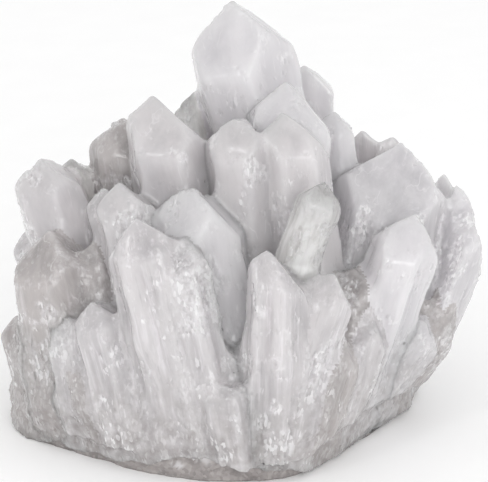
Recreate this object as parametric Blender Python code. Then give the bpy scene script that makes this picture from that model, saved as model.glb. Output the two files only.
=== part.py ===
"""A natural cluster of quartz crystals standing on the rock that they grew from.

Each crystal is a convex solid: six prism faces, six sloping faces that meet in its point, any faces where
it has broken, and flat contact faces where it met a larger neighbour. The rock is a low mound with a sawn
underside, and each crystal has a seat on it. Lengths in the lists are millimetres, +Z is up, and -Y is the
cluster's front. The object stands on Z = 0 with its bounding box centred on the Z axis.
"""

import math
import random
from dataclasses import dataclass

import bmesh
import bpy
from mathutils import Matrix, Vector

MM = 0.001
GAP = 0.3  # left between neighbours, which touch in the real stone

# Quartz's habit: the angle between a crystal's length and the normal of the faces that form its point.
POINT_ANGLE = math.radians(51.8)
PRISM_SIDES = 6
MINOR_FACE_STANDOFF = 0.12  # how far three of the point's faces stand back, as a share of the width
BLANK = 400.0  # side of the block that a crystal is cut from

# The rock: a mound whose top follows z = crown - fall * ((x / a)^2 + (y / b)^2).
MOUND_CROWN = 25.0
MOUND_FALL = 16.0
MOUND_HALF_WIDTH = 70.0
MOUND_HALF_DEPTH = 52.0
RIM_UNDERCUT = math.radians(6)
# The corners of the sawn underside, anticlockwise from the left.
FOOTPRINT = (
    (-73, -8),
    (-67.5, -16),
    (-61, -22),
    (-29, -43),
    (-9, -48.3),
    (3, -48.3),
    (11, -46.8),
    (17, -43.3),
    (28, -32),
    (41, -13.5),
    (53, 5),
    (57, 20),
    (53, 34),
    (38, 47),
    (8, 55),
    (-28, 53),
    (-54, 40),
    (-68, 22),
    (-73, 6),
)


@dataclass
class Crystal:
    """One crystal: its root's place on the mound, its point, and its width across the flats."""

    name: str
    root: tuple
    point: tuple
    width: float
    turn: float = 0.0  # degrees that the prism is turned about its length
    skew: tuple = (0.0, 0.0)  # how far the point stands off the prism's axis, as a share of the width
    taper: float = 0.0  # degrees that each prism face leans inwards, towards the root if negative
    breaks: tuple = ()  # broken faces, each (bearing, rise, reach): see broken_planes


# The largest come first. A crystal keeps its faces against every crystal that comes after it.
CRYSTALS = (
    Crystal("tallest_point", (25, 24), (-4.5, 25, 131.5), 33, 12, skew=(0.05, 0), breaks=((-40, 78, -1),)),
    Crystal("left_shoulder_point", (-19, -2), (-28.5, 0, 108), 27, turn=20, skew=(-0.17, 0.0)),
    Crystal("inner_right_point", (14, 3), (13, 2.5, 112), 24, turn=5),
    Crystal("right_block", (38, 6), (50, 16, 88), 36, turn=25),
    Crystal("clear_leaning_point", (3, -33), (24, -28, 89.5), 13, turn=30),
    Crystal("inner_right_front_point", (19, -13), (11, -11.5, 106.3), 20.5, turn=30, skew=(-0.17, 0.0)),
    Crystal("blunt_middle_point", (5, -12), (-1.5, -10, 105), 20, turn=10, breaks=((0, 80, -2.5),)),
    Crystal("front_left_point", (-19, -38), (-32.5, -34, 80.5), 20.5, turn=30, taper=-0.8),
    Crystal("front_middle_point", (6, -44), (6.6, -44, 73.7), 17, turn=20, skew=(-0.17, 0.0)),
    Crystal("front_right_point", (36.5, -13), (52.7, -17, 75.3), 21, turn=20, taper=-1),
    Crystal("milky_heart_point", (-7, -26), (-17, -21, 87), 28, breaks=((50, 60, -3), (140, 65, -3))),
    Crystal("left_outer_point", (-44, -2), (-64.5, 2, 88), 20, turn=10, breaks=((170, 62, -1.2),)),
    Crystal("left_low_point", (-53, -16), (-60, -14, 69.2), 23, turn=0),
    Crystal("right_crest_point", (47, 10), (63, 16, 81), 24, turn=15),
    Crystal("right_outer_block", (46, 8), (71.5, 12, 72.5), 28, turn=10, breaks=((20, 30, -1.5),)),
    Crystal("left_grey_point", (-30, 14), (-39.3, 16, 98), 20.5, turn=20, breaks=((175, 60, -3.0),)),
    Crystal("back_right_tall_point", (25, 38), (19.5, 36, 108), 18, turn=0),
    Crystal("right_shoulder_point", (36, 18), (28.6, 20, 96.8), 13, turn=0),
    Crystal("front_left_inner_point", (-7, -42), (-18.5, -38, 74), 15, turn=10, taper=-0.8),
    Crystal("front_split_point", (13, -42), (26.7, -36, 63), 15.5, turn=10),
    Crystal("middle_left_point", (-22, -22), (-38, -14, 84.7), 17, turn=10),
    Crystal("small_left_point", (-30, -14), (-44, -6, 79.8), 13, turn=10),
    Crystal("left_rear_point", (-42, 10), (-54.7, 14, 82.8), 11, turn=10),
    Crystal("small_dark_point", (-8, 30), (-17, 30, 99.5), 13, turn=10),
    Crystal("shaded_point", (28, -22), (34, -18, 57.8), 16, turn=10),
    Crystal("rear_ridge_point", (38, 32), (38, 32, 86.5), 16, turn=30, breaks=((0, 75, -1),)),
    Crystal("rear_ridge_low_point", (44, 30), (48, 32, 85), 15, turn=10),
    Crystal("hollow_left_point", (-38, -16), (-47, -16, 63.6), 14, turn=10),
    Crystal("left_base_point", (-61, -15), (-65, -18, 42), 10.5, turn=10),
    Crystal("left_edge_point", (-66, -7), (-71, -9, 37.5), 12, turn=10),
    Crystal("left_front_small_point", (-50, -27), (-56, -26, 44), 12, turn=10),
    Crystal("left_front_point", (-37, -35), (-46, -32, 53), 15, turn=10),
    Crystal("right_base_point", (22, -38), (30, -36, 40.5), 12, turn=10),
    Crystal("right_low_block", (46, 0), (65, 0, 41), 20, turn=10),
    Crystal("front_low_stump", (-2.5, -46), (-6, -45.5, 36), 15, turn=15, breaks=((60, 62, -6),)),
    Crystal("right_front_low_point", (30, -27), (38, -26, 46), 14, turn=0),
    Crystal("right_rim_point", (44, -8), (57, -12, 38), 13, turn=20),
    Crystal("left_front_low_point", (-43, -30), (-50, -30, 34), 12, turn=25),
    Crystal("rear_tall_point", (5, 44), (2, 56, 98), 20, turn=10),
    Crystal("rear_left_point", (-20, 40), (-32, 52, 86), 18, turn=10),
    Crystal("rear_outer_left_point", (-38, 28), (-56, 36, 72), 18, turn=10),
    Crystal("rear_right_point", (26, 46), (34, 58, 80), 18, turn=10),
    Crystal("rear_outer_right_point", (42, 28), (56, 40, 68), 16, turn=10),
    Crystal("rear_low_left_point", (-54, 12), (-70, 22, 58), 15, turn=10),
    Crystal("rear_low_middle_point", (-12, 48), (-16, 60, 58), 15, turn=5),
    Crystal("rear_low_right_point", (14, 50), (18, 62, 54), 14, turn=25),
    Crystal("rear_inner_point", (-14, 24), (-20, 36, 92), 17, turn=15),
)


def mound_height(x, y):
    return MOUND_CROWN - MOUND_FALL * ((x / MOUND_HALF_WIDTH) ** 2 + (y / MOUND_HALF_DEPTH) ** 2)


def mound_seat(x, y):
    """(point, normal) of the plane that touches the mound above (x, y)."""
    slope_x = 2 * MOUND_FALL * x / MOUND_HALF_WIDTH**2
    slope_y = 2 * MOUND_FALL * y / MOUND_HALF_DEPTH**2
    return Vector((x, y, mound_height(x, y))), Vector((slope_x, slope_y, 1)).normalized()


def block():
    bm = bmesh.new()
    bmesh.ops.create_cube(bm, size=BLANK)
    return bm


def cleave(bm, point, normal):
    """Cuts away what lies beyond the plane and closes the cut with one face."""
    everything = bm.verts[:] + bm.edges[:] + bm.faces[:]
    bmesh.ops.bisect_plane(
        bm, geom=everything, dist=1e-5, plane_co=point, plane_no=normal, clear_outer=True
    )
    rim = [edge for edge in bm.edges if edge.is_boundary]
    if rim:
        bmesh.ops.edgeloop_fill(bm, edges=rim)


def axes_of(crystal):
    """(right, back, length) of a crystal: its length, and the two ways across it nearest to +X and +Y."""
    x, y = crystal.root
    foot = Vector((x, y, mound_height(x, y)))
    length = (Vector(crystal.point) - foot).normalized()
    right = (Vector((1, 0, 0)) - length * length.x).normalized()
    return right, length.cross(right), length


def faces_of(crystal):
    """The crystal's own faces as (point, outward normal): the prism's, then the point's."""
    right, back, length = axes_of(crystal)
    rng = random.Random(crystal.name)
    half = crystal.width / 2
    tip = Vector(crystal.point)
    centre = tip - (right * crystal.skew[0] + back * crystal.skew[1]) * crystal.width
    lean = math.radians(crystal.taper)
    prism, point = [], []
    for side in range(PRISM_SIDES):
        bearing = math.radians(crystal.turn + 360 / PRISM_SIDES * side)
        across = right * math.cos(bearing) + back * math.sin(bearing)
        reach = half * rng.uniform(0.9, 1.04)
        prism.append((centre + across * reach, across * math.cos(lean) + length * math.sin(lean)))
        outward = across * math.sin(POINT_ANGLE) + length * math.cos(POINT_ANGLE)
        minor = MINOR_FACE_STANDOFF * rng.uniform(0.5, 1.5) if side % 2 else 0.0
        point.append((tip + outward * crystal.width * minor, outward))
    return prism + point


def broken_planes(crystal):
    """Broken faces: bearing turns about the length, rise tips a face up, and reach moves it off the axis."""
    right, back, length = axes_of(crystal)
    planes = []
    for bearing, rise, reach in crystal.breaks:
        turn, tip = math.radians(bearing), math.radians(rise)
        across = right * math.cos(turn) + back * math.sin(turn)
        normal = across * math.cos(tip) + length * math.sin(tip)
        planes.append((Vector(crystal.point) + normal * reach, normal))
    return planes


def volume_beyond(bm, point, normal):
    """What would be left of a solid on the plane's outer side."""
    trial = bm.copy()
    cleave(trial, point, -normal)
    volume = trial.calc_volume() if trial.faces else 0.0
    trial.free()
    return volume


def give_way(bm, faces):
    """Cuts a solid back, where it meets a larger neighbour, to the neighbour's face that costs it least."""
    corners = [vert.co for vert in bm.verts]
    if any(all((co - point).dot(normal) >= GAP for co in corners) for point, normal in faces):
        return
    moved = [(point + normal * GAP, normal) for point, normal in faces]
    point, normal = max(moved, key=lambda face: volume_beyond(bm, *face))
    cleave(bm, point, -normal)


def crystal_solid(crystal, larger):
    bm = block()
    for point, normal in faces_of(crystal) + broken_planes(crystal):
        cleave(bm, point, normal)
    seat, up = mound_seat(*crystal.root)
    cleave(bm, seat + up * GAP, -up)
    for neighbour in larger:
        give_way(bm, faces_of(neighbour) + broken_planes(neighbour))
    return bm


def rock_solid():
    bm = block()
    cleave(bm, Vector((0, 0, 0)), Vector((0, 0, -1)))
    for (x0, y0), (x1, y1) in zip(FOOTPRINT, FOOTPRINT[1:] + FOOTPRINT[:1]):
        outward = Vector((y1 - y0, x0 - x1, 0)).normalized() * math.cos(RIM_UNDERCUT)
        outward.z = -math.sin(RIM_UNDERCUT)
        cleave(bm, Vector((x0, y0, 0)), outward)
    for crystal in CRYSTALS:
        cleave(bm, *mound_seat(*crystal.root))
    return bm


def material(name, colour, roughness):
    made = bpy.data.materials.new(name)
    made.use_nodes = True
    shader = made.node_tree.nodes["Principled BSDF"]
    shader.inputs["Base Color"].default_value = (*colour, 1)
    shader.inputs["Roughness"].default_value = roughness
    shader.inputs["Metallic"].default_value = 0.0
    shader.inputs["IOR"].default_value = 1.544
    return made


def add_part(name, bm, place, finish, parent):
    """Makes an object from a solid in the cluster's millimetres, with its origin and axes at place."""
    bmesh.ops.remove_doubles(bm, verts=bm.verts, dist=0.05)
    bmesh.ops.recalc_face_normals(bm, faces=bm.faces)
    bmesh.ops.transform(bm, matrix=Matrix.Scale(MM, 4) @ place.inverted(), verts=bm.verts)
    mesh = bpy.data.meshes.new(name)
    bm.to_mesh(mesh)
    bm.free()
    mesh.materials.append(finish)
    made = bpy.data.objects.new(name, mesh)
    bpy.context.collection.objects.link(made)
    made.parent = parent
    made.rotation_euler = place.to_euler()
    made.location = place.translation * MM
    return made


def place_of(crystal):
    """The crystal's own axes, with its length as Z, at its root."""
    right, back, length = axes_of(crystal)
    place = Matrix((right, back, length)).transposed().to_4x4()
    x, y = crystal.root
    place.translation = (x, y, mound_height(x, y))
    return place


def main():
    for old in list(bpy.data.objects):
        bpy.data.objects.remove(old)
    cluster = bpy.data.objects.new("cluster", None)
    bpy.context.collection.objects.link(cluster)
    milky = material("milky_quartz", (0.62, 0.61, 0.63), 0.2)
    rough = material("quartz_rock", (0.40, 0.39, 0.39), 0.7)
    parts = [add_part("quartz_rock", rock_solid(), Matrix.Identity(4), rough, cluster)]
    for order, crystal in enumerate(CRYSTALS):
        solid = crystal_solid(crystal, CRYSTALS[:order])
        parts.append(add_part(crystal.name, solid, place_of(crystal), milky, cluster))
    bpy.context.view_layer.update()
    corners = [part.matrix_world @ vert.co for part in parts for vert in part.data.vertices]
    for axis in range(2):
        side = [corner[axis] for corner in corners]
        cluster.location[axis] = -(min(side) + max(side)) / 2


main()
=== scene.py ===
"""Looks of a natural cluster of milky quartz crystals that have grown together on grey quartz rock.

Lengths are millimetres here, and turn to metres where a mesh, a light or a camera is made.
"""

import math
import zlib

import bpy
import numpy as np
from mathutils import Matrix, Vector


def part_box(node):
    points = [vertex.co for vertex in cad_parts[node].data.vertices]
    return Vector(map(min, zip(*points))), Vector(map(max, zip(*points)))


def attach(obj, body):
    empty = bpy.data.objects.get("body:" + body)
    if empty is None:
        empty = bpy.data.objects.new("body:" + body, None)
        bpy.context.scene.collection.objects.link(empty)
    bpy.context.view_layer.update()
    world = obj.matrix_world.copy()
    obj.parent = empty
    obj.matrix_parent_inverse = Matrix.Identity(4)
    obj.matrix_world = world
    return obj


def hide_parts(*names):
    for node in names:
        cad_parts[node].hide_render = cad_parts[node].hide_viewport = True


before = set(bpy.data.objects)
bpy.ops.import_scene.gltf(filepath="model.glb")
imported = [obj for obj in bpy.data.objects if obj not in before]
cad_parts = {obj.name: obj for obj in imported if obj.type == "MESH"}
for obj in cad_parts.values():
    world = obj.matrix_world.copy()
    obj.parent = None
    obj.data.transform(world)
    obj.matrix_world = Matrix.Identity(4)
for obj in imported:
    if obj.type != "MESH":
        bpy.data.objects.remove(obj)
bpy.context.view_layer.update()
MM = 0.001
QUARTZ_IOR = 1.544


# ---- The rock ------------------------------------------------------------------------------------------
# The crystals grew out of a slab of coarse grey vein quartz. Its rim is broken by hammer, and its
# underside was sawn flat so that the cluster stands. Its grains are about a millimetre wide, and its top
# is a crust of them.

ROCK_STEP = 0.9  # spacing of the fine surface's points
UNDERSIDE_ROWS = 14
RIM_ROWS = 17
ROCK_ROUNDING = 0.8
RIM_ROUGHNESS = 1.2
CRUST_ROUGHNESS = 1.6
SAW_MARK_DEPTH = 0.05
SAW_MARK_SPACING = 2.4
GRAIN_SIZE = 1.1


def linear(hex_colour):
    """The linear colour of an sRGB hex value, with an alpha of 1."""
    parts = np.array([int(hex_colour[i : i + 2], 16) / 255 for i in (1, 3, 5)])
    return (*np.where(parts <= 0.04045, parts / 12.92, ((parts + 0.055) / 1.055) ** 2.4), 1.0)


def seed_of(name):
    return zlib.crc32(name.encode()) % 10007


def lattice_random(cell, seed):
    """A repeatable number from 0 to 1 for each whole-number cell: a product with large primes, its bits
    mixed.
    """
    x, y, z = (cell[..., axis].astype(np.int64) for axis in range(3))
    mixed = (x * 374761393 + y * 668265263 + z * 1274126177 + seed * 1442695041) & 0xFFFFFFFF
    mixed = ((mixed ^ (mixed >> 13)) * 1103515245) & 0xFFFFFFFF
    mixed = ((mixed ^ (mixed >> 16)) * 2246822519) & 0xFFFFFFFF
    return ((mixed ^ (mixed >> 15)) & 0xFFFFFF) / 0xFFFFFF


def clouds(place, seed, octaves=2):
    """Smooth noise, mostly from -1 to 1: random values on a lattice, eased between its corners, with
    smaller and weaker noise over it for each further octave.
    """
    total = np.zeros(place.shape[:-1])
    reach = 0.0
    for octave in range(octaves):
        scaled = place * 2.03**octave + 17.3 * octave
        cell = np.floor(scaled)
        ease = scaled - cell
        ease = ease**3 * (ease * (ease * 6 - 15) + 10)
        value = 0.0
        for corner in np.ndindex(2, 2, 2):
            share = np.prod(np.where(corner, ease, 1 - ease), axis=-1)
            value = value + share * lattice_random(cell + corner, seed + octave)
        total += (value * 2 - 1) * 0.5**octave
        reach += 0.5**octave
    return total / reach * 1.6


def broken_grains(place, seed):
    """Relief of broken crystal grains: each point takes the height of its nearest grain's own tilted
    facet.
    """
    base = np.floor(place)
    nearest = np.full(place.shape[:-1], 9.0)
    height = np.zeros(place.shape[:-1])
    for corner in np.ndindex(3, 3, 3):
        cell = base + corner - 1.0
        jitter = np.stack([lattice_random(cell, seed + axis) for axis in range(3)], -1)
        tilt = np.stack([lattice_random(cell, seed + 5 + axis) for axis in range(3)], -1) * 2 - 1
        away = place - cell - jitter
        distance = (away**2).sum(-1)
        closer = distance < nearest
        nearest = np.where(closer, distance, nearest)
        height = np.where(closer, (away * tilt).sum(-1) + 0.6 * tilt[..., 0], height)
    return height


def smooth_step(low, high, value):
    share = np.clip((value - low) / (high - low), 0, 1)
    return share * share * (3 - 2 * share)


def soft_least(values, rounding, axis=-1):
    """The least value, rounded where two are close: minus the log of the sum of exp(-value)."""
    least = values.min(axis=axis, keepdims=True)
    total = np.exp(-(values - least) / rounding).sum(axis=axis)
    return least.squeeze(axis) - rounding * np.log(total)


def triangles_of(name):
    """(corners, triangles) of a CAD node."""
    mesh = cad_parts[name].data
    mesh.calc_loop_triangles()
    points = np.empty(len(mesh.vertices) * 3)
    mesh.vertices.foreach_get("co", points)
    corners = np.empty(len(mesh.loop_triangles) * 3, int)
    mesh.loop_triangles.foreach_get("vertices", corners)
    return points.reshape(-1, 3) / MM, corners.reshape(-1, 3)


def flat_faces(name):
    """(normals, offsets) of a CAD solid's flat faces. Slivers are left out, and triangles that lie in one
    plane count once.
    """
    points, triangles = triangles_of(name)
    a, b, c = points[triangles].transpose(1, 0, 2)
    normals = np.cross(b - a, c - a)
    size = np.linalg.norm(normals, axis=1)
    order = np.argsort(-size)[: (size > 0.2).sum()]
    normals = normals[order] / size[order, None]
    offsets = (normals * a[order]).sum(1)
    alike = (normals @ normals.T > 0.9995) & (abs(offsets[:, None] - offsets) < 0.1)
    first = np.unique(alike.argmax(1))
    return normals[first], offsets[first]


def closed_surface(name, rows, looks, material, node):
    """A closed skin over a grid of points, whose rows run round it from one pole to the other.

    The first and last rows each become one point. looks are numbers or vectors at each point of the grid.
    """
    count, around = rows.shape[:2]
    points = np.concatenate([rows[:1].mean(1), rows[1:-1].reshape(-1, 3), rows[-1:].mean(1)])
    index = 1 + np.arange((count - 2) * around).reshape(-1, around)
    here, there = index, np.roll(index, -1, axis=1)
    quads = np.stack([here[:-1], there[:-1], there[1:], here[1:]], -1).reshape(-1, 4)
    start = np.stack([np.zeros(around, int), there[0], here[0]], -1)
    end = np.stack([here[-1], there[-1], np.full(around, len(points) - 1)], -1)
    mesh = bpy.data.meshes.new(name)
    mesh.vertices.add(len(points))
    mesh.vertices.foreach_set("co", (points * MM).ravel())
    mesh.loops.add(start.size + quads.size + end.size)
    mesh.loops.foreach_set("vertex_index", np.concatenate([start.ravel(), quads.ravel(), end.ravel()]))
    sides = np.concatenate([np.full(around, 3), np.full(len(quads), 4), np.full(around, 3)])
    mesh.polygons.add(len(sides))
    mesh.polygons.foreach_set("loop_start", np.concatenate([[0], np.cumsum(sides)[:-1]]))
    mesh.polygons.foreach_set("loop_total", sides)
    mesh.polygons.foreach_set("use_smooth", np.ones(len(sides), bool))
    mesh.update(calc_edges=True)
    for look, values in looks.items():
        flat = values.reshape(count, around, -1)
        flat = np.concatenate([flat[:1].mean(1), flat[1:-1].reshape(-1, flat.shape[-1]), flat[-1:].mean(1)])
        kind, field = ("FLOAT_VECTOR", "vector") if flat.shape[-1] == 3 else ("FLOAT", "value")
        mesh.attributes.new(look, kind, "POINT").data.foreach_set(field, flat.ravel())
    mesh.materials.append(material)
    piece = bpy.data.objects.new(name, mesh)
    bpy.context.scene.collection.objects.link(piece)
    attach(piece, "root")
    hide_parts(node)
    return piece


def add(tree, kind, links=None, **settings):
    """Adds a shader node. settings are its properties or its sockets' values, and links name what its
    sockets read.
    """
    made = tree.nodes.new("ShaderNode" + kind)
    for name, value in settings.items():
        if hasattr(made, name):
            setattr(made, name, value)
        else:
            made.inputs[name.replace("_", " ")].default_value = value
    for socket, source in (links or {}).items():
        tree.links.new(source, made.inputs[socket])
    return made


def new_material(name):
    made = bpy.data.materials.new(name)
    made.use_nodes = True
    made.node_tree.nodes.clear()
    return made, made.node_tree


def ramp(tree, value, given, wanted):
    """A value carried from one range to another, and held at its ends."""
    made = add(tree, "MapRange", {"Value": value})
    for socket, number in zip(("From Min", "From Max", "To Min", "To Max"), (*given, *wanted)):
        made.inputs[socket].default_value = number
    return made.outputs["Result"]


def times(tree, value, other):
    """The product of a socket with another socket or a number."""
    made = add(tree, "Math", {0: value}, operation="MULTIPLY")
    if isinstance(other, (int, float)):
        made.inputs[1].default_value = other
    else:
        tree.links.new(other, made.inputs[1])
    return made.outputs[0]


def blend_colour(tree, share, colour, hex_colour):
    """A colour with a share of a fixed one over it."""
    made = add(tree, "Mix", {"Factor": share}, data_type="RGBA")
    tree.links.new(colour, made.inputs["A"])
    made.inputs["B"].default_value = linear(hex_colour)
    return made.outputs["Result"]


def vein_quartz():
    """Coarse grey quartz: dull broken grains, some clear and dark, some milky, with a little light under
    the skin.
    """
    made, tree = new_material("grey_vein_quartz")
    place = add(tree, "TexCoord").outputs["Object"]
    crust = add(tree, "Attribute", attribute_name="crust").outputs["Fac"]
    grains = add(tree, "TexVoronoi", {"Vector": place}, Scale=1 / (GRAIN_SIZE * MM))
    stains = add(tree, "TexNoise", {"Vector": place}, Scale=1 / (9 * MM), Detail=4.0)
    grain_tone = add(tree, "ValToRGB", {"Fac": grains.outputs["Color"]})
    grain_tone.color_ramp.elements[0].color = linear("#999594")
    grain_tone.color_ramp.elements[1].color = linear("#c3bfbe")
    stain_tone = add(tree, "ValToRGB", {"Fac": stains.outputs["Fac"]})
    stain_tone.color_ramp.elements[0].position = 0.3
    stain_tone.color_ramp.elements[0].color = linear("#b7b2b1")
    stain_tone.color_ramp.elements[1].position = 0.7
    stain_tone.color_ramp.elements[1].color = linear("#f0ecea")
    rock = add(tree, "Mix", data_type="RGBA", blend_type="MULTIPLY")
    rock.inputs["Factor"].default_value = 0.75
    tree.links.new(grain_tone.outputs["Color"], rock.inputs["A"])
    tree.links.new(stain_tone.outputs["Color"], rock.inputs["B"])
    tone = add(tree, "Mix", {"Factor": crust}, data_type="RGBA")
    tree.links.new(rock.outputs["Result"], tone.inputs["A"])
    tone.inputs["B"].default_value = linear("#d2d0d1")
    grit = add(tree, "TexNoise", {"Vector": place}, Scale=1 / (0.6 * MM), Detail=3.0)
    relief = add(tree, "Bump", {"Height": grit.outputs["Fac"]}, Strength=0.6, Distance=0.25 * MM)
    shader = add(
        tree,
        "BsdfPrincipled",
        {"Base Color": tone.outputs["Result"], "Normal": relief.outputs["Normal"]},
        Roughness=0.55,
        IOR=QUARTZ_IOR,
        Subsurface_Weight=0.3,
        Subsurface_Radius=(1.0, 0.95, 0.92),
        Subsurface_Scale=1.5 * MM,
    )
    add(tree, "OutputMaterial", {"Surface": shader.outputs["BSDF"]})
    return made


def rock_surface():
    """The rock's skin: along each bearing its outline runs out under the rock, up the broken rim and in
    over the top.

    The rim's distance is the rounded least of the CAD solid's side planes, and the top's height that
    of its upper planes. Noise then breaks the rim and crusts the top.
    """
    normals, offsets = flat_faces("quartz_rock")
    side = abs(normals[:, 2]) < 0.5
    upper = normals[:, 2] > 0.5
    low, high = (np.array(corner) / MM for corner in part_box("quartz_rock"))
    centre = ((low + high) / 2)[:2]
    around = int((high - low)[:2].sum() * 1.6 / ROCK_STEP)
    bearing = np.linspace(0, 2 * np.pi, around, endpoint=False)
    outward = np.stack([np.cos(bearing), np.sin(bearing)], -1)

    def reach(height):
        facing = outward @ normals[side, :2].T
        gap = offsets[side] - normals[side, :2] @ centre - height[:, None] * normals[side, 2]
        return soft_least(np.where(facing > 0.05, gap / np.maximum(facing, 0.05), 1e3), ROCK_ROUNDING)

    def top(spot):
        gap = offsets[upper] - spot @ normals[upper, :2].T
        return soft_least(gap / normals[upper, 2], ROCK_ROUNDING)

    rim_top = top(centre + outward * (reach(np.zeros(around)) - 1)[:, None])
    rows = []
    crust = []
    for share in np.linspace(0, 1, UNDERSIDE_ROWS)[:-1]:
        spot = centre + outward * (reach(np.zeros(around)) * share)[:, None]
        rows.append(np.column_stack([spot, np.zeros(around)]))
        crust.append(np.zeros(around))
    for share in np.linspace(0, 1, RIM_ROWS):
        height = rim_top * share
        rows.append(np.column_stack([centre + outward * reach(height)[:, None], height]))
        crust.append(np.full(around, share))
    for share in np.linspace(1, 0, int((high - low)[0] / 2 / ROCK_STEP))[1:]:
        spot = centre + outward * (reach(rim_top) * share)[:, None]
        rows.append(np.column_stack([spot, top(spot)]))
        crust.append(np.ones(around))
    rows = np.array(rows)
    crust = np.array(crust)
    direction = np.broadcast_to(np.column_stack([outward, np.zeros(around)]), rows.shape)
    lift = smooth_step(0.0, 2.5, rows[..., 2])
    broken = clouds(rows / 7, 11, 3) * 0.8 + broken_grains(rows / 3.2, 23) * 0.5
    out = RIM_ROUGHNESS * broken * (0.45 + 0.55 * lift) - 0.4
    rim = centre + outward * reach(rim_top)[:, None]
    near_rim = smooth_step(12, 2, np.linalg.norm(rows[..., :2] - rim, axis=-1))
    rows = rows + direction * (out * near_rim)[..., None]
    bumps = clouds(rows / 4, 31, 3) + broken_grains(rows / 2.4, 37) * 0.6
    rows[..., 2] += CRUST_ROUGHNESS * bumps * smooth_step(2, 7, rows[..., 2])
    saw = SAW_MARK_DEPTH * (0.5 + 0.5 * np.sin(rows[..., 0] * 2 * np.pi / SAW_MARK_SPACING))
    rows[..., 2] = np.where(crust == 0, saw * (rows[..., 2] < 0.5), np.maximum(rows[..., 2], 0))
    speckle = smooth_step(-0.15, 0.5, clouds(rows / 5, 41, 3) + 2.2 * crust - 1.4)
    return rows, {"crust": speckle}


rock_rows, rock_looks = rock_surface()
rock = closed_surface("vein_quartz_rock", rock_rows, rock_looks, vein_quartz(), "quartz_rock")


# ---- The crystals --------------------------------------------------------------------------------------
# Each crystal is one piece of quartz, a six-sided column with a six-faced point. Gas and water trapped as
# it grew make it milky. It grew from many narrow columns side by side, which show as ridges along it. Its
# faces are glassy near the point, its edges are worn, and where it met its neighbours the crystals are
# one mass.

THREAD_WIDTH = 1.5  # of the milky threads that run along a crystal
SHEET_SPACING = 9.0  # of the healed cracks
CRACKED_PATCH = 6.0
CRUMB_SIZE = 1.6  # of the bruised grains on a break
DARKER_BELOW_MOTTLE_SIZE = 3.5
# Some of these facets are painted near white as painted glints, and some darker as painted shade.
FACET_SIZE = 0.75  # of the small broken facets that glint
GLINT_PATCH = 5.0
PIT_SIZE = 0.7
PIT_DEPTH = 0.08
LIGHT_DEPTH = 13.0  # how far light runs in milky quartz before it turns
POINT_LEAN = math.cos(math.radians(51.8))  # of a point's face normal along the crystal's length
GROWN_TOGETHER = 2.6  # how far a crystal runs on into its larger neighbour
EDGE_ROUNDING = 0.42
# How wide a gap between neighbours is filled: at the rim, in the wall above it, and among the points.
JOINTS = (0.9, 2.1, 1.5)
JOINT_HEIGHTS = (5.0, 20.0, 45.0, 90.0)
MASS_CROWN = 49.0  # the crystals' common mass rises to this in the middle, and falls by so much to the rim
MASS_FALL = 37.0
MASS_SOFTNESS = 0.6  # the lower, the more gently the crystals rise out of it
MASS_OVERHANG = 0.9  # how far it laps over the rim of the rock
MASS_FOOT = 0.6  # its lower edge, on the rim of the rock
LOWEST = 0.6  # no part of that edge is below this
BARE_ROCK = 8.0  # how much higher the edge is at the front, where the rock shows
BARE_PLACE = -13.0  # the middle of that bare stretch along the front, and how wide it is
BARE_WIDTH = 22.0
GRID_STEP = 0.75
GRID_MARGIN = 3.0
BATCH = 20000
REACH = 10.0  # how far from a crystal the grid still counts it
OVERLAP = 1.2  # how far a piece runs on into the next one
SEAM_DIP = 1.5  # how fast a piece sinks under the next one past their seam
SKIN = 0.6  # a point this near the mass's surface is on its skin, and not inside it
WAVE_HEIGHT = 0.42  # of the slow waves that keep a crystal's faces from being flat
# How wide across and how long along a crystal its relief is.
RIDGES = (6.5, 6.5, 60.0)
FINE_RIDGES = (2.6, 2.6, 22.0)
GRAINS = (1.9, 1.9, 7.0)
SPLINTERS = (4.8, 4.8, 15.0)
BROKEN_PATCHES = (9.0, 9.0, 14.0)
SWELL = 8.0
RIPPLE = 2.6
CHIP_SPACING = 3.1
CHIP_DEPTH = 0.6
# The skin between crystals is crumbly. It is smoother above the first height, and as rough as it gets
# below the second.
CRUMBLY_HEIGHTS = (80.0, 35.0)
CRUMB_SWELL = 3.4
CRUMB_GRAINS = 2.3
DARKER_BELOW_HEIGHTS = (40.0, 3.0)  # a darker, warmer grey starts below the first, and is thickest below the second
CLEAR_OF_TABLE = 0.15


def growth_axis(normals):
    """(length, own): the crystal's length, and which faces are its own.

    The length is the crossing direction of two faces that most faces fit, as sides square to it or as
    faces of its point. It is then refined by least squares over the faces that fit.
    """
    first, second = np.triu_indices(len(normals), 1)
    ways = np.cross(normals[first], normals[second])
    size = np.linalg.norm(ways, axis=1)
    ways = ways[size > 0.2] / size[size > 0.2, None]
    ways = ways * np.where(ways[:, 2] < 0, -1, 1)[:, None]
    lean = ways @ normals.T
    sides = abs(lean) < 0.045
    points = abs(lean - POINT_LEAN) < 0.035
    misfit = np.minimum(abs(lean), abs(lean - POINT_LEAN))
    score = (sides | points).sum(1) - np.where(sides | points, misfit, 0).sum(1)
    best = score.argmax()
    own = (sides | points)[best]
    target = np.where(points[best], POINT_LEAN, 0.0)[own]
    length = np.linalg.lstsq(normals[own], target, rcond=None)[0]
    return length / np.linalg.norm(length), own


def habit_of(name, all_normals, all_offsets):
    """A crystal's planes, its length, and which of its faces slope to the point, are broken, or join a
    neighbour.

    A face joins a neighbour where it lies against a face of another solid, across the gap that the CAD
    leaves. It is moved out into that neighbour, so that the two overlap.
    """
    normals, offsets = flat_faces(name)
    length, own = growth_axis(normals)
    gap = -(offsets[:, None] + all_offsets)
    joined = ~own & ((normals @ all_normals.T < -0.9995) & (gap > 0) & (gap < 0.6)).any(1)
    return {
        "normals": normals,
        "offsets": offsets + np.where(joined, GROWN_TOGETHER, 0.0),
        "length": length,
        "sides": own & (abs(normals @ length - POINT_LEAN) >= 0.06),
        "sloping": own & (abs(normals @ length - POINT_LEAN) < 0.06),
        "split": ~own & ~joined,
        "joined": joined,
    }


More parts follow.
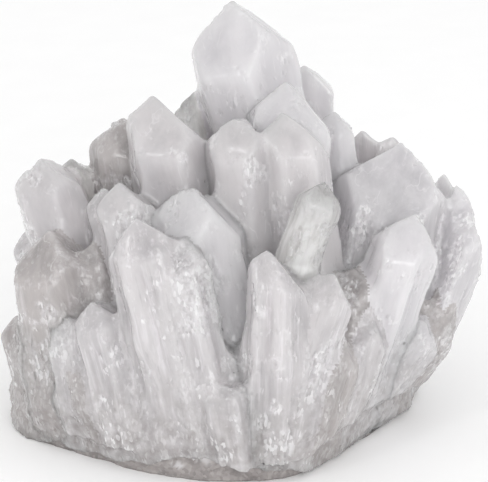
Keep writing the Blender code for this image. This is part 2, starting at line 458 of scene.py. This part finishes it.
def habits_of_all():
    faces = [flat_faces(name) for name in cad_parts]
    all_normals = np.concatenate([normals for normals, _ in faces])
    all_offsets = np.concatenate([offsets for _, offsets in faces])
    crystals = [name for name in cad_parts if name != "quartz_rock"]
    return {name: habit_of(name, all_normals, all_offsets) for name in crystals}


HABITS = habits_of_all()
ROCK_NORMALS, ROCK_OFFSETS = flat_faces("quartz_rock")
ROCK_SIDES = abs(ROCK_NORMALS[:, 2]) < 0.5
NAMES = list(HABITS)
PLANES = np.concatenate([habit["normals"] for habit in HABITS.values()]).astype(np.float32)
OFFSETS = np.concatenate([habit["offsets"] for habit in HABITS.values()]).astype(np.float32)
STARTS = np.cumsum([0] + [len(habit["offsets"]) for habit in HABITS.values()])


def wavy(place):
    """Each point moved by slow crossing waves, so that no face is quite flat and no edge quite straight."""
    x, y, z = np.moveaxis(place, -1, 0)
    slow = np.stack(
        [
            np.sin(y / 5.3 + 1.4 * np.sin(z / 8.1)) + 0.5 * np.sin(z / 2.9 + y / 3.7),
            np.sin(z / 6.7 + 1.4 * np.sin(x / 7.3)) + 0.5 * np.sin(x / 3.1 + z / 4.3),
            np.sin(x / 5.9 + 1.4 * np.sin(y / 6.9)) + 0.5 * np.sin(y / 3.3 + x / 4.1),
        ],
        -1,
    )
    return place + WAVE_HEIGHT * slow


def joint_width(height):
    rim, wall, among = JOINTS
    width = rim + (wall - rim) * smooth_step(*JOINT_HEIGHTS[:2], height)
    return width + (among - wall) * smooth_step(*JOINT_HEIGHTS[2:], height)


def past_mass(place):
    """How far a point is outside the crystals' common mass, a low dome that clothes the rock down to a
    wavy edge.
    """
    low, high = (np.array(corner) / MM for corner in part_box("quartz_rock"))
    centre, half = (low + high) / 2, (high - low) / 2
    out = (((place - centre) / half)[..., :2] ** 2).sum(-1)
    above = MASS_SOFTNESS * (place[..., 2] - MASS_CROWN + MASS_FALL * out**3)
    x, y = place[..., 0], place[..., 1]
    edge = MASS_FOOT + BARE_ROCK * np.exp(-(((x - BARE_PLACE) / BARE_WIDTH) ** 2)) * (y < 0)
    edge = edge + 0.9 * np.sin(x / 4.7 + 1.5 * np.sin(y / 6.1)) + 0.6 * np.sin(x / 1.9)
    past = np.maximum(above, np.maximum(edge, LOWEST) - place[..., 2])
    for normal, offset in zip(ROCK_NORMALS[ROCK_SIDES].astype(np.float32), ROCK_OFFSETS[ROCK_SIDES]):
        past = np.maximum(past, place @ normal - (offset + MASS_OVERHANG))
    return past


def past_planes(place, normals, offsets, starts):
    """How far a point is outside each solid: the rounded greatest of its distances past the solid's
    planes.
    """
    beyond = np.clip(place @ normals.T - offsets, -25, 40)
    return EDGE_ROUNDING * np.log(np.add.reduceat(np.exp(beyond / EDGE_ROUNDING), starts, axis=-1))


def grown_together(points):
    """(field, weights) at points: how far each is outside the whole mass, and each solid's weight there.

    The mass's distance is the rounded least of its solids' distances. The points are taken in batches,
    to save memory.
    """
    fields, weights = [], []
    for batch in np.array_split(points, len(points) // BATCH + 1):
        bent = wavy(batch).astype(np.float32)
        width = joint_width(bent[:, 2]).astype(np.float32)
        solids = past_planes(bent, PLANES, OFFSETS, STARTS[:-1])
        solids = np.concatenate([solids, past_mass(bent)[:, None]], -1)
        weights.append(np.exp(-np.clip(solids / width[:, None], -15, 15)))
        fields.append(-width * np.log(weights[-1].sum(-1)))
    return np.concatenate(fields), np.concatenate(weights)


def grid_field(members):
    """(field, nearest, low): the mass's field on an even grid, how near each group's crystals are, and
    the grid's low corner.
    """
    boxes = np.array([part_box(name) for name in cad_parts]) / MM
    low = boxes[:, 0].min(0) - GRID_MARGIN
    high = boxes[:, 1].max(0) + GRID_MARGIN
    lines = [np.arange(low[axis], high[axis], GRID_STEP, dtype=np.float32) for axis in range(3)]
    place = wavy(np.stack(np.meshgrid(*lines, indexing="ij"), -1)).astype(np.float32)
    width = joint_width(place[..., 2]).astype(np.float32)
    total = np.exp(-np.clip(past_mass(place) / width, -15, 15))
    nearest = np.full((len(members), *width.shape), REACH, np.float32)
    for number, name in enumerate(NAMES):
        box_low, box_high = (np.array(corner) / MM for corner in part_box(name))
        first = np.maximum(((box_low - REACH - low) / GRID_STEP).astype(int), 0)
        last = ((box_high + REACH - low) / GRID_STEP).astype(int) + 1
        block = tuple(slice(a, b) for a, b in zip(first, last))
        planes = slice(STARTS[number], STARTS[number + 1])
        solid = past_planes(place[block], PLANES[planes], OFFSETS[planes], [0])[..., 0]
        total[block] += np.exp(-np.clip(solid / width[block], -15, 15))
        group = next(g for g, names in enumerate(members) if name in names)
        nearest[group][block] = np.minimum(nearest[group][block], solid)
    return -width * np.log(total), nearest, low


def net_surface(field, low):
    """(points, quads) of a grid's zero surface.

    Each cell that the surface crosses has one point, the mean of its crossings of the cell's edges.
    Each grid line's crossing has one quad, between the four cells round it.
    """
    inside = field < 0
    size = np.array(field.shape) - 1
    count = np.zeros(size, np.int8)
    for x, y, z in np.ndindex(2, 2, 2):
        count += inside[x : x + size[0], y : y + size[1], z : z + size[2]]
    crossed = (count > 0) & (count < 8)
    cells = np.argwhere(crossed)
    number = np.full(size, -1)
    number[crossed] = np.arange(len(cells))
    total = np.zeros((len(cells), 3))
    hits = np.zeros(len(cells))
    quads = []
    for axis in range(3):
        across, up = (axis + 1) % 3, (axis + 2) % 3
        unit = np.eye(3, dtype=int)
        for right, top in np.ndindex(2, 2):
            start = cells + right * unit[across] + top * unit[up]
            a = field[tuple(start.T)]
            b = field[tuple((start + unit[axis]).T)]
            cut = (a < 0) != (b < 0)
            share = np.where(cut, a / np.where(cut, a - b, 1), 0)
            total += np.where(cut[:, None], start + share[:, None] * unit[axis], 0)
            hits += cut
        ends = inside.take(np.arange(size[axis]), axis), inside.take(np.arange(1, size[axis] + 1), axis)
        edges = np.argwhere(ends[0] != ends[1])
        aside = edges[:, [across, up]]
        edges = edges[(aside >= 1).all(1) & (aside < size[[across, up]]).all(1)]
        corners = [edges - unit[across] - unit[up], edges - unit[up], edges, edges - unit[across]]
        quad = np.stack([number[tuple(corner.T)] for corner in corners], -1)
        outward = inside[tuple(edges.T)]
        quads.append(np.where(outward[:, None], quad, quad[:, ::-1]))
    return low + GRID_STEP * total / hits[:, None], np.concatenate(quads)


def normals_of(points, quads):
    a, b, c, d = points[quads].transpose(1, 0, 2)
    facing = np.cross(c - a, d - b)
    corners = quads.ravel()
    parts = [np.bincount(corners, np.repeat(facing[:, axis], 4), len(points)) for axis in range(3)]
    total = np.stack(parts, -1)
    return total / np.maximum(np.linalg.norm(total, axis=1, keepdims=True), 1e-9)


def crystal_relief(name, place, columns, waves, breakage):
    """(relief, worn_edge, broken, near_tip) at points of a crystal's skin.

    Ridges run along its own sides, flat terraces lie on its point, and shatter on a broken face.
    columns is the height of the ridges, waves that of the faces' swell, and the higher breakage is, the
    more of the skin is broken.
    """
    habit = HABITS[name]
    length = habit["length"]
    seed = seed_of(name)
    luck = np.random.default_rng(seed)
    beyond = place @ habit["normals"].T - habit["offsets"]
    share = np.exp((beyond - beyond.max(-1, keepdims=True)) / 0.8)
    share = share / share.sum(-1, keepdims=True)
    heights = triangles_of(name)[0] @ length
    right = np.cross(length, [0.0, 1.0, 0.0])
    right /= np.linalg.norm(right)
    back = np.cross(length, right)
    local = np.stack([place @ right, place @ back, place @ length - heights.min()], -1)
    low, high = (np.array(corner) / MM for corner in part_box(name))
    half = 0.4 * min((high - low)[:2])
    below_tip = heights.max() - heights.min() - local[..., 2]
    moved = local + luck.uniform(-500, 500, 3)
    ridged = 0.5 - 2 * abs(clouds(moved / RIDGES, seed, 2))
    fine = 0.5 - 2 * abs(clouds(moved / FINE_RIDGES, seed + 1, 2))
    swell = clouds(moved / SWELL, seed + 2, 2)
    ripple = clouds(moved / RIPPLE, seed + 3, 2)
    terraces = np.round(swell * 5 + ripple * 0.6) / 5

    body_share = smooth_step(0.3 * half, 2.6 * half, below_tip)
    mix = luck.uniform(-1, 1, (3, len(habit["offsets"])))
    on_sides = columns * body_share[..., None] * (
        ridged[..., None] * (0.7 + 0.3 * mix[0]) + 0.5 * fine[..., None] * (0.7 + 0.3 * mix[1])
    )
    on_sides = on_sides + waves * swell[..., None] * mix[2]
    on_point = 0.5 * terraces[..., None] * mix[1] + 0.3 * swell[..., None] * mix[0] + 0.1 * ripple[..., None]
    on_point = waves * on_point
    patches = clouds(moved / BROKEN_PATCHES, seed + 6, 3) + 0.5 * body_share
    broken = smooth_step(0.62, 0.86, patches + breakage)
    grains = broken_grains(moved / GRAINS, seed + 7)
    shatter = broken_grains(moved / SPLINTERS, seed + 8)
    on_break = 0.6 * shatter + 0.3 * grains + 0.3 * ripple
    relief = np.where(habit["sloping"], on_point, np.where(habit["split"], on_break[..., None], on_sides))
    relief = (relief * share).sum(-1)
    edge = 1 - smooth_step(0.55, 0.95, share.max(-1))
    chips = edge * smooth_step(0.25, 0.75, clouds(moved / CHIP_SPACING, seed + 9, 2) + 0.25 * breakage)
    relief = relief - CHIP_DEPTH * chips * (0.6 + 0.4 * grains)
    relief = relief + broken * (0.32 * grains + 0.4 * shatter - 0.3)
    split_share = (share * habit["split"]).sum(-1)
    worn = np.clip(edge * 0.5 + chips, 0, 1)
    bruised = np.clip(broken + split_share * 0.7 + chips * 0.5, 0, 1)
    return relief, worn, bruised, smooth_step(2.4 * half, 0.2 * half, below_tip)


def growth_frame(name):
    """(turn, move): a place times turn, plus move, is the place in a crystal's own growth."""
    length = HABITS[name]["length"]
    right = np.cross(length, [0.0, 1.0, 0.0])
    right /= np.linalg.norm(right)
    move = np.random.default_rng(seed_of(name)).uniform(-500, 500, 3)
    return np.stack([right, np.cross(length, right), length], -1), move


def meshed(name, points, faces, materials, nodes):
    """A smooth piece of the object from points in millimetres and faces of one size."""
    mesh = bpy.data.meshes.new(name)
    mesh.vertices.add(len(points))
    mesh.vertices.foreach_set("co", (points * MM).ravel())
    mesh.loops.add(faces.size)
    mesh.loops.foreach_set("vertex_index", faces.ravel())
    mesh.polygons.add(len(faces))
    mesh.polygons.foreach_set("loop_start", np.arange(len(faces)) * faces.shape[1])
    mesh.polygons.foreach_set("loop_total", np.full(len(faces), faces.shape[1]))
    mesh.polygons.foreach_set("use_smooth", np.ones(len(faces), bool))
    mesh.update(calc_edges=True)
    for material in materials:
        mesh.materials.append(material)
    piece = bpy.data.objects.new(name, mesh)
    bpy.context.scene.collection.objects.link(piece)
    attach(piece, "root")
    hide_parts(*nodes)
    return mesh


def grow(name, group, members, settings, materials, grid):
    """One piece of the mass: its part of the grid's surface, moved onto the true surface and given its
    relief.
    """
    field, nearest, low = grid
    others = np.delete(nearest, group, axis=0).min(0)
    points, quads = net_surface(np.maximum(field, (nearest[group] - others) / 2 - OVERLAP), low)
    facing = normals_of(points, quads)
    past, weights = grown_together(points)
    total = weights.sum(-1)
    crystals = weights[:, :-1]
    mine = crystals[:, [NAMES.index(member) for member in members]].sum(1) / crystals.sum(1)
    on_skin = abs(past) < SKIN
    points = points - facing * np.where(on_skin, past, 0)[:, None]
    dominant = np.where(on_skin, crystals.argmax(1), -1)
    own_share = crystals.max(1) / total
    crumbs = 0.3 * clouds(points / CRUMB_SWELL, 91, 3) + 0.22 * broken_grains(points / CRUMB_GRAINS, 93)
    crumbly = smooth_step(*CRUMBLY_HEIGHTS, points[:, 2])
    alone = smooth_step(0.5, 0.85, own_share)
    relief = crumbs * (1 - alone) * (0.35 + 0.65 * crumbly)
    looks = {look: np.zeros(len(points)) for look in ("worn_edge", "broken", "near_tip")}
    for number in np.unique(dominant[dominant >= 0]):
        at = dominant == number
        own_relief, *own_looks = crystal_relief(NAMES[number], points[at], **settings(NAMES[number]))
        relief[at] += own_relief * alone[at]
        for look, values in zip(looks.values(), own_looks):
            look[at] = values * alone[at]
    looks["broken"] += 0.3 * (1 - alone) * crumbly
    looks["darker_below"] = smooth_step(*DARKER_BELOW_HEIGHTS, points[:, 2])
    relief = np.where(on_skin, relief, 0) - SEAM_DIP * np.maximum(0.5 - mine, 0)
    points = points + facing * relief[:, None]
    points[:, 2] = np.maximum(points[:, 2], CLEAR_OF_TABLE)

    mesh = meshed(name, points, quads, [material for _, material in materials], members)
    for look, values in looks.items():
        mesh.attributes.new(look, "FLOAT", "POINT").data.foreach_set("value", values)
    owner = np.maximum(dominant[quads[:, 0]], 0)
    turns, moves = (np.stack(part) for part in zip(*(growth_frame(member) for member in NAMES)))
    growth = np.einsum("qci,qij->qcj", points[quads], turns[owner]) + moves[owner][:, None]
    mesh.attributes.new("growth", "FLOAT_VECTOR", "CORNER").data.foreach_set("vector", growth.ravel())
    kinds = [next(k for k, (owners, _) in enumerate(materials) if crystal in owners) for crystal in NAMES]
    mesh.polygons.foreach_set("material_index", np.array(kinds)[owner])


def quartz(name, milk, shade, veil_size, clarity, gloss, sparkle, fibre, sound_tip):
    """Quartz with veils of tiny bubbles along its growth: milk where they are dense, and shade where it
    is clear.

    The veils are about veil_size wide. Light runs deep under the skin before it comes out. clarity is
    how much of the light near the point passes straight through instead, gloss the roughness of a sound
    face, fibre how much its columns show, sparkle how steep the small facets of a broken face are, and
    sound_tip how free of them its point is. A few of those facets are painted near white as painted
    glints, and a few are painted darker as painted shade.
    """
    made, tree = new_material(name)
    place = add(tree, "TexCoord").outputs["Object"]
    growth = add(tree, "Attribute", attribute_name="growth").outputs["Vector"]
    worn = add(tree, "Attribute", attribute_name="worn_edge").outputs["Fac"]
    broken = add(tree, "Attribute", attribute_name="broken").outputs["Fac"]
    darker_below = add(tree, "Attribute", attribute_name="darker_below").outputs["Fac"]
    near_tip = add(tree, "Attribute", attribute_name="near_tip").outputs["Fac"]
    stretched = add(tree, "Mapping", {"Vector": growth}, Scale=(1.0, 1.0, 0.3)).outputs["Vector"]
    drawn_out = add(tree, "Mapping", {"Vector": growth}, Scale=(1.0, 1.0, 0.05)).outputs["Vector"]

    veils = add(
        tree,
        "TexNoise",
        {"Vector": stretched},
        Scale=1 / veil_size,
        Detail=7.0,
        Roughness=0.62,
        Distortion=0.4,
    )
    body = add(tree, "ValToRGB", {"Fac": veils.outputs["Fac"]})
    body.color_ramp.elements[0].position = 0.32
    body.color_ramp.elements[0].color = linear(shade)
    body.color_ramp.elements[1].position = 0.6
    body.color_ramp.elements[1].color = linear(milk)

    threads = add(tree, "TexNoise", {"Vector": drawn_out}, Scale=1 / THREAD_WIDTH, Detail=4.0, Roughness=0.6)
    thread_share = ramp(tree, threads.outputs["Fac"], (0.54, 0.78), (0.0, fibre))
    threaded = blend_colour(tree, thread_share, body.outputs["Color"], "#ebe8eb")
    gap_share = ramp(tree, threads.outputs["Fac"], (0.42, 0.24), (0.0, fibre))
    threaded = blend_colour(tree, gap_share, threaded, "#b4b1b3")

    sheets = add(tree, "TexNoise", {"Vector": stretched}, Scale=1 / SHEET_SPACING, Detail=3.0, Roughness=0.5)
    off_sheet = add(tree, "Math", {0: sheets.outputs["Fac"]}, operation="SUBTRACT")
    off_sheet.inputs[1].default_value = 0.5
    off_sheet = add(tree, "Math", {0: off_sheet.outputs[0]}, operation="ABSOLUTE").outputs[0]
    crack_mask = add(tree, "TexNoise", {"Vector": growth}, Scale=1 / CRACKED_PATCH, Detail=2.0)
    crack_line = ramp(tree, off_sheet, (0.014, 0.0), (0.0, 1.0))
    crack_share = times(tree, crack_line, ramp(tree, crack_mask.outputs["Fac"], (0.5, 0.62), (0.0, 0.45)))
    cracked = blend_colour(tree, crack_share, threaded, "#f2f0f1")

    bruise = add(tree, "Math", {0: times(tree, worn, 0.1), 1: broken}, operation="MAXIMUM").outputs[0]
    crumbs = add(tree, "TexNoise", {"Vector": growth}, Scale=1 / CRUMB_SIZE, Detail=4.0, Roughness=0.65)
    crumb_share = times(tree, bruise, ramp(tree, crumbs.outputs["Fac"], (0.35, 0.65), (0.0, 0.75)))
    scuffed = blend_colour(tree, crumb_share, cracked, "#efedef")

    # The lower part of each crystal is a darker, warmer grey, thickest near the rock, with a mottle.
    darker_below_mottle = add(tree, "TexNoise", {"Vector": place}, Scale=1 / (DARKER_BELOW_MOTTLE_SIZE * MM), Detail=4.0)
    darker_below_share = times(tree, darker_below, ramp(tree, darker_below_mottle.outputs["Fac"], (0.35, 0.7), (0.2, 0.85)))
    tone = blend_colour(tree, darker_below_share, scuffed, "#9a9492")

    splinters = add(tree, "Mapping", {"Vector": growth}, Scale=(1.0, 1.0, 0.45)).outputs["Vector"]
    facets = add(tree, "TexVoronoi", {"Vector": splinters}, Scale=1 / FACET_SIZE)
    away = add(tree, "VectorMath", {0: splinters, 1: facets.outputs["Position"]}, operation="SUBTRACT")
    lean = add(tree, "VectorMath", {0: facets.outputs["Color"]}, operation="SUBTRACT")
    lean.inputs[1].default_value = (0.5, 0.5, 0.5)
    tilted = add(tree, "VectorMath", {0: away.outputs[0], 1: lean.outputs[0]}, operation="DOT_PRODUCT")
    glints = add(tree, "TexNoise", {"Vector": growth}, Scale=1 / GLINT_PATCH, Detail=3.0)
    sound = add(tree, "Math", {1: times(tree, near_tip, sound_tip)}, operation="SUBTRACT")
    sound.inputs[0].default_value = 1.0
    glint_share = times(tree, sound.outputs[0], ramp(tree, glints.outputs["Fac"], (0.55, 0.65), (0.0, 0.8)))
    glint_share = add(tree, "Math", {0: broken, 1: glint_share}, operation="MAXIMUM")
    luck = add(tree, "SeparateColor", {"Color": facets.outputs["Color"]})
    # Painted highlight: a few small facets are painted near white as glints.
    painted_glint = ramp(tree, luck.outputs["Red"], (0.76, 0.8), (0.0, 0.65))
    tone = blend_colour(tree, times(tree, glint_share.outputs[0], painted_glint), tone, "#fbfafb")
    # Painted shade: a few small facets are painted darker, as if turned from the light.
    painted_dark_facet = ramp(tree, luck.outputs["Green"], (0.2, 0.16), (0.0, 0.25))
    tone = blend_colour(tree, times(tree, glint_share.outputs[0], painted_dark_facet), tone, "#9c999a")
    glint_height = times(tree, tilted.outputs["Value"], glint_share.outputs[0])
    pits = add(tree, "TexNoise", {"Vector": stretched}, Scale=1 / PIT_SIZE, Detail=4.0, Roughness=0.6)
    grain = add(tree, "Bump", {"Height": pits.outputs["Fac"]}, Strength=0.35, Distance=PIT_DEPTH * MM)
    bumps = {"Height": glint_height, "Normal": grain.outputs["Normal"]}
    relief = add(tree, "Bump", bumps, Distance=sparkle * MM)

    shader = add(
        tree,
        "BsdfPrincipled",
        {
            "Base Color": tone,
            "Roughness": ramp(tree, glint_share.outputs[0], (0.1, 0.7), (gloss, 0.05)),
            "Transmission Weight": times(tree, ramp(tree, near_tip, (0.0, 1.0), (0.5, 1.0)), clarity),
            "Normal": relief.outputs["Normal"],
        },
        IOR=QUARTZ_IOR,
        Subsurface_Weight=1.0,
        Subsurface_Radius=(1.0, 0.97, 0.98),
        Subsurface_Scale=LIGHT_DEPTH * MM,
    )
    add(tree, "OutputMaterial", {"Surface": shader.outputs["BSDF"]})
    return made


smooth_quartz = quartz("smooth_milky_quartz", "#e5e3e5", "#d6d4d7", 12.0, 0.3, 0.2, 0.6, 0.1, 0.8)
pale_quartz = quartz("pale_milky_quartz", "#d9d6d7", "#c8c5c7", 10.0, 0.3, 0.2, 0.6, 0.15, 0.7)
milky_quartz = quartz("milky_quartz", "#d4d1d2", "#bebbbd", 9.0, 0.25, 0.16, 1.1, 0.8, 0.7)
frosted_quartz = quartz("frosted_quartz", "#d4d2d4", "#c1bfc2", 8.0, 0.15, 0.24, 1.3, 0.25, 1.0)
# Darker grey quartz: partly the crystals' own grey, and partly painted shade.
grey_shaded_quartz = quartz("grey_shaded_quartz", "#bfbab9", "#a6a2a1", 7.0, 0.25, 0.16, 1.2, 0.5, 1.0)
clear_quartz = quartz("clear_quartz", "#f0efee", "#c8c6c4", 4.0, 0.55, 0.06, 2.4, 0.6, 0.0)


# Most of the crystals are more or less milky. The block on the right is frosted, and three thin crystals
# are clearer. Some on the left and low down are a darker grey: partly their own grey, and partly painted
# shade on crystals that sit in shade between others.
CLEAR = ("clear_leaning_point", "left_rear_point", "small_dark_point")
FROSTED = ("right_block", "right_crest_point", "right_outer_block", "right_low_block", "right_rim_point")
# Crystals with the darker grey, part of it painted shade for those that sit in shade.
GREY_AND_SHADED = (
    "left_edge_point",
    "left_base_point",
    "left_front_low_point",
    "hollow_left_point",
    "shaded_point",
    "right_base_point",
    "left_grey_point",
    "left_low_point",
    "right_low_block",
)
PALE = (
    "left_shoulder_point",
    "inner_right_front_point",
    "blunt_middle_point",
    "left_outer_point",
    "middle_left_point",
)
SMOOTH = (
    "tallest_point",
    "inner_right_point",
    "back_right_tall_point",
    "right_shoulder_point",
    "milky_heart_point",
    "front_right_point",
)
# A crystal has the first of these finishes that names it.
FINISHES = [
    (CLEAR, clear_quartz),
    (GREY_AND_SHADED, grey_shaded_quartz),
    (FROSTED, frosted_quartz),
    (PALE, pale_quartz),
    (SMOOTH, smooth_quartz),
    (NAMES, milky_quartz),
]

# The tall middle crystals have smooth faces that swell a little. The left ones are shorter, more ridged
# and more broken. The front row has the deepest ridges, and the frosted block is the most broken.
GROUPS = {
    "tallest_crystals": ("tallest_point", "small_dark_point"),
    "middle_left_crystals": ("left_shoulder_point", "milky_heart_point"),
    "inner_right_crystals": ("inner_right_point", "back_right_tall_point", "right_shoulder_point"),
    "middle_right_crystals": ("inner_right_front_point", "blunt_middle_point", "clear_leaning_point"),
    "left_crystals": (
        "left_outer_point",
        "left_grey_point",
        "left_low_point",
        "middle_left_point",
        "small_left_point",
        "hollow_left_point",
        "left_rear_point",
    ),
    "front_left_crystals": (
        "front_left_point",
        "front_left_inner_point",
        "front_low_stump",
        "left_front_point",
        "left_front_small_point",
        "left_front_low_point",
        "left_base_point",
        "left_edge_point",
    ),
    "front_right_crystals": (
        "front_middle_point",
        "front_right_point",
        "front_split_point",
        "shaded_point",
        "right_base_point",
        "right_front_low_point",
    ),
    "right_frosted_crystals": FROSTED,
    "rear_left_crystals": ("rear_left_point", "rear_outer_left_point", "rear_low_left_point"),
    "rear_middle_crystals": ("rear_tall_point", "rear_low_middle_point", "rear_inner_point"),
    "rear_right_crystals": (
        "rear_right_point",
        "rear_outer_right_point",
        "rear_low_right_point",
        "rear_ridge_point",
        "rear_ridge_low_point",
    ),
}
RELIEF_OF_GROUP = {
    "tallest_crystals": {"columns": 0.12, "waves": 0.35, "breakage": -0.15},
    "middle_left_crystals": {"columns": 0.12, "waves": 0.35, "breakage": -0.15},
    "inner_right_crystals": {"columns": 0.12, "waves": 0.35, "breakage": -0.1},
    "middle_right_crystals": {"columns": 0.12, "waves": 0.35, "breakage": -0.15},
    "left_crystals": {"columns": 0.4, "waves": 0.3, "breakage": 0.1},
    "front_left_crystals": {"columns": 0.8, "waves": 0.3, "breakage": 0.05},
    "front_right_crystals": {"columns": 0.8, "waves": 0.3, "breakage": 0.05},
    "right_frosted_crystals": {"columns": 0.6, "waves": 0.5, "breakage": 0.28},
    "rear_left_crystals": {"columns": 0.4, "waves": 0.3, "breakage": 0.1},
    "rear_middle_crystals": {"columns": 0.4, "waves": 0.3, "breakage": 0.1},
    "rear_right_crystals": {"columns": 0.4, "waves": 0.3, "breakage": 0.1},
}


def relief_settings(name):
    """How rough a crystal's skin is: its group's settings, but the clear leaning one is more ridged and
    more broken.
    """
    if name == "clear_leaning_point":
        return {"columns": 0.4, "waves": 0.4, "breakage": -0.05}
    return next(RELIEF_OF_GROUP[group] for group, members in GROUPS.items() if name in members)


GRID = grid_field(list(GROUPS.values()))
for group, (name, members) in enumerate(GROUPS.items()):
    grow(name, group, members, relief_settings, FINISHES, GRID)


# ---- The stand, light and camera -----------------------------------------------------------------------
# A plain white table under even white light from all round, with a small lamp above the left and a
# large one in front, seen from a little above the front.

CAMERA_DISTANCE = 0.7
CAMERA_ELEVATION = math.radians(20)
CAMERA_AIM = Vector((0.0006, -0.0064, 0.06))
CAMERA_LENS = 165.0


def white_table():
    """Matt white board, with the faintest mottle."""
    made, tree = new_material("matt_white_board")
    place = add(tree, "TexCoord").outputs["Object"]
    mottle = add(tree, "TexNoise", {"Vector": place}, Scale=40.0, Detail=3.0)
    tone = add(tree, "ValToRGB", {"Fac": mottle.outputs["Fac"]})
    tone.color_ramp.elements[0].color = linear("#fafafa")
    tone.color_ramp.elements[1].color = linear("#fefefe")
    shader = add(tree, "BsdfPrincipled", {"Base Color": tone.outputs["Color"]}, Roughness=0.9)
    add(tree, "OutputMaterial", {"Surface": shader.outputs["BSDF"]})
    return made


def add_floor():
    mesh = bpy.data.meshes.new("table")
    reach = 4.0
    corners = [(-reach, -reach, 0), (reach, -reach, 0), (reach, reach, 0), (-reach, reach, 0)]
    mesh.from_pydata(corners, [], [(0, 1, 2, 3)])
    mesh.materials.append(white_table())
    floor = bpy.data.objects.new("table", mesh)
    bpy.context.scene.collection.objects.link(floor)


def add_softbox(name, place, size, power):
    light = bpy.data.lights.new(name, "AREA")
    light.shape = "SQUARE"
    light.size = size
    light.energy = power
    lamp = bpy.data.objects.new(name, light)
    lamp.location = place
    lamp.rotation_mode = "QUATERNION"
    lamp.rotation_quaternion = (Vector(place) - CAMERA_AIM).to_track_quat("Z", "Y")
    bpy.context.scene.collection.objects.link(lamp)


def add_camera():
    camera = bpy.data.cameras.new("camera")
    camera.lens = CAMERA_LENS
    seen_from = bpy.data.objects.new("camera", camera)
    back = Vector((0, -math.cos(CAMERA_ELEVATION), math.sin(CAMERA_ELEVATION)))
    seen_from.location = CAMERA_AIM + back * CAMERA_DISTANCE
    seen_from.rotation_mode = "QUATERNION"
    seen_from.rotation_quaternion = back.to_track_quat("Z", "Y")
    bpy.context.scene.collection.objects.link(seen_from)
    bpy.context.scene.camera = seen_from


add_floor()
add_softbox("key_softbox", (-0.65, -0.75, 1.05), 0.12, 0.9)
add_softbox("front_softbox", (0.3, -1.5, 0.7), 0.8, 7.0)
add_camera()
world = bpy.data.worlds.new("white_studio")
world.use_nodes = True
world.node_tree.nodes["Background"].inputs["Color"].default_value = (1, 1, 1, 1)
world.node_tree.nodes["Background"].inputs["Strength"].default_value = 0.95
bpy.context.scene.world = world
bpy.context.scene.view_settings.view_transform = "Standard"

bpy.context.view_layer.update()
